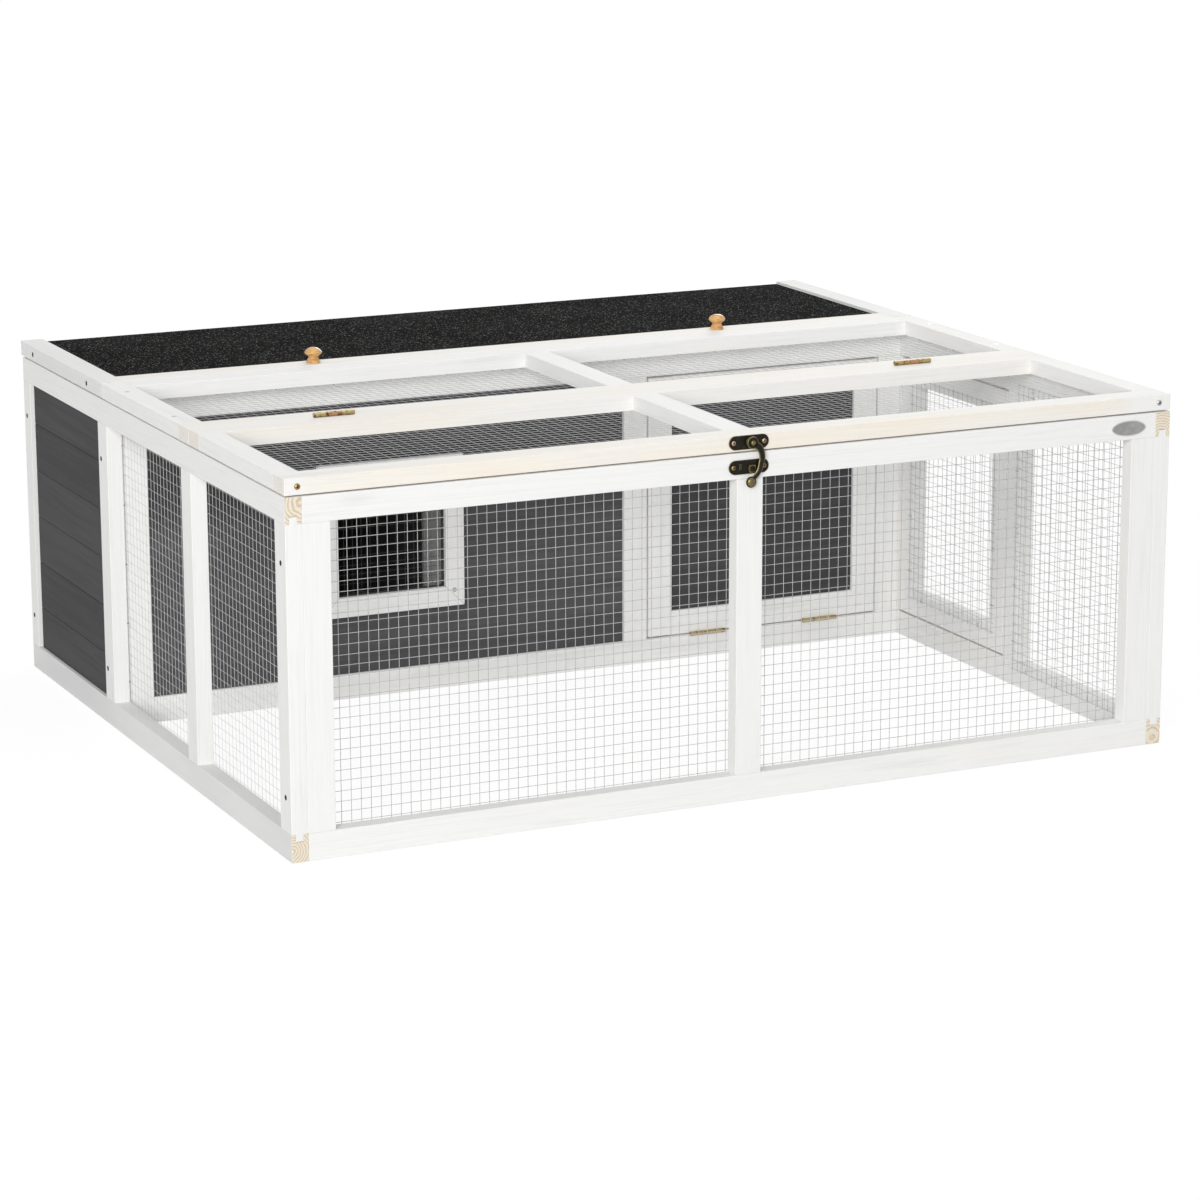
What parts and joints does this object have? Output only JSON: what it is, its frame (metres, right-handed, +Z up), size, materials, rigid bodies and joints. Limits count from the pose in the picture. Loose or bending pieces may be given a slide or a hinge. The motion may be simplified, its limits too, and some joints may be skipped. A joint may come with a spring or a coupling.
{
  "type": "small animal hutch",
  "caption": "Low timber hutch for small animals: a wire-mesh run with a folding lid and side door, and a boarded house behind it with a lifting felt roof and drop door.",
  "frame": {"origin": "centre of the footprint on the floor, under the bottom rails", "axes": "+X along the front from left to right, +Y from the front to the house at the back, +Z up"},
  "size_m": [1.21, 1.0341, 0.481],
  "materials": {
    "white_wood": "whitewashed, matt",
    "grey_wood": "charcoal stain, matt",
    "zinc_wire": "galvanised",
    "hinge_brass": "dull plated",
    "antique_bronze": "antique, rubbed edges",
    "roof_felt": "mineral granules",
    "knob_wood": "varnished"
  },
  "bodies": {
    "carcass": {"front_top_rail": "white_wood", "front_bottom_rail": "white_wood", "front_posts": "white_wood", "left_top_rail": "white_wood", "left_bottom_rail": "white_wood", "left_posts": "white_wood", "right_top_rail": "white_wood", "right_bottom_rail": "white_wood", "right_posts": "white_wood", "rear_top_rail": "white_wood", "rear_bottom_rail": "white_wood", "rear_posts": "white_wood", "partition_top_rail": "white_wood", "partition_bottom_rail": "white_wood", "partition_posts": "white_wood", "window_frame": "white_wood", "middle_side_rails": "white_wood", "middle_rear_rail": "white_wood", "middle_front_rail": "white_wood", "middle_centre_rail": "white_wood", "left_boards": "grey_wood", "right_boards": "grey_wood", "rear_boards": "grey_wood", "partition_panel": "grey_wood", "front_mesh": "zinc_wire", "left_mesh": "zinc_wire", "right_mesh": "zinc_wire", "window_mesh": "zinc_wire", "middle_mesh": "zinc_wire", "front_lid_fixed_leaves": "hinge_brass", "house_roof_fixed_leaves": "hinge_brass", "house_door_fixed_leaves": "hinge_brass", "side_door_fixed_leaves": "hinge_brass", "front_latch_catch": "antique_bronze", "side_latch_catch": "antique_bronze"},
    "front_lid": {"front_lid_rear_rail": "white_wood", "front_lid_front_rail": "white_wood", "front_lid_bars": "white_wood", "front_lid_mesh": "zinc_wire", "front_lid_leaves": "hinge_brass", "front_latch_plate": "antique_bronze"},
    "front_hook": {"front_latch_hook": "antique_bronze"},
    "house_roof": {"house_roof_side_rails": "white_wood", "house_roof_rear_rail": "white_wood", "house_roof_knob_rail": "white_wood", "house_roof_board": "grey_wood", "house_roof_felt": "roof_felt", "roof_knobs": "knob_wood", "house_roof_leaves": "hinge_brass"},
    "house_door": {"house_door_stiles": "white_wood", "house_door_rails": "white_wood", "house_door_panel": "grey_wood", "house_door_leaves": "hinge_brass"},
    "side_door": {"side_door_stiles": "white_wood", "side_door_rails": "white_wood", "side_door_mesh": "zinc_wire", "side_door_leaves": "hinge_brass", "side_latch_plate": "antique_bronze"},
    "side_hook": {"side_latch_hook": "antique_bronze"}
  },
  "joints": [
    {"name": "front_lid_hinge", "type": "hinge", "parent": "carcass", "child": "front_lid", "pos_m": [0, -0.181, 0.4631], "axis": [-1, 0, 0], "range_deg": [0, 180]},
    {"name": "front_hook_pivot", "type": "hinge", "parent": "front_lid", "child": "front_hook", "pos_m": [0, -0.509, 0.451], "axis": [0, -1, 0], "range_deg": [0, 80]},
    {"name": "house_roof_hinge", "type": "hinge", "parent": "carcass", "child": "house_roof", "pos_m": [0, 0.5121, 0.439], "axis": [-1, 0, 0], "range_deg": [0, 110]},
    {"name": "house_door_hinge", "type": "hinge", "parent": "carcass", "child": "house_door", "pos_m": [0.362, 0.1459, 0.035], "axis": [1, 0, 0], "range_deg": [0, 95]},
    {"name": "side_door_hinge", "type": "hinge", "parent": "carcass", "child": "side_door", "pos_m": [0.6031, 0.142, 0.22], "axis": [0, 0, 1], "range_deg": [0, 170]},
    {"name": "side_hook_pivot", "type": "hinge", "parent": "side_door", "child": "side_hook", "pos_m": [0.6, -0.127, 0.355], "axis": [-1, 0, 0], "range_deg": [0, 80]}
  ]
}
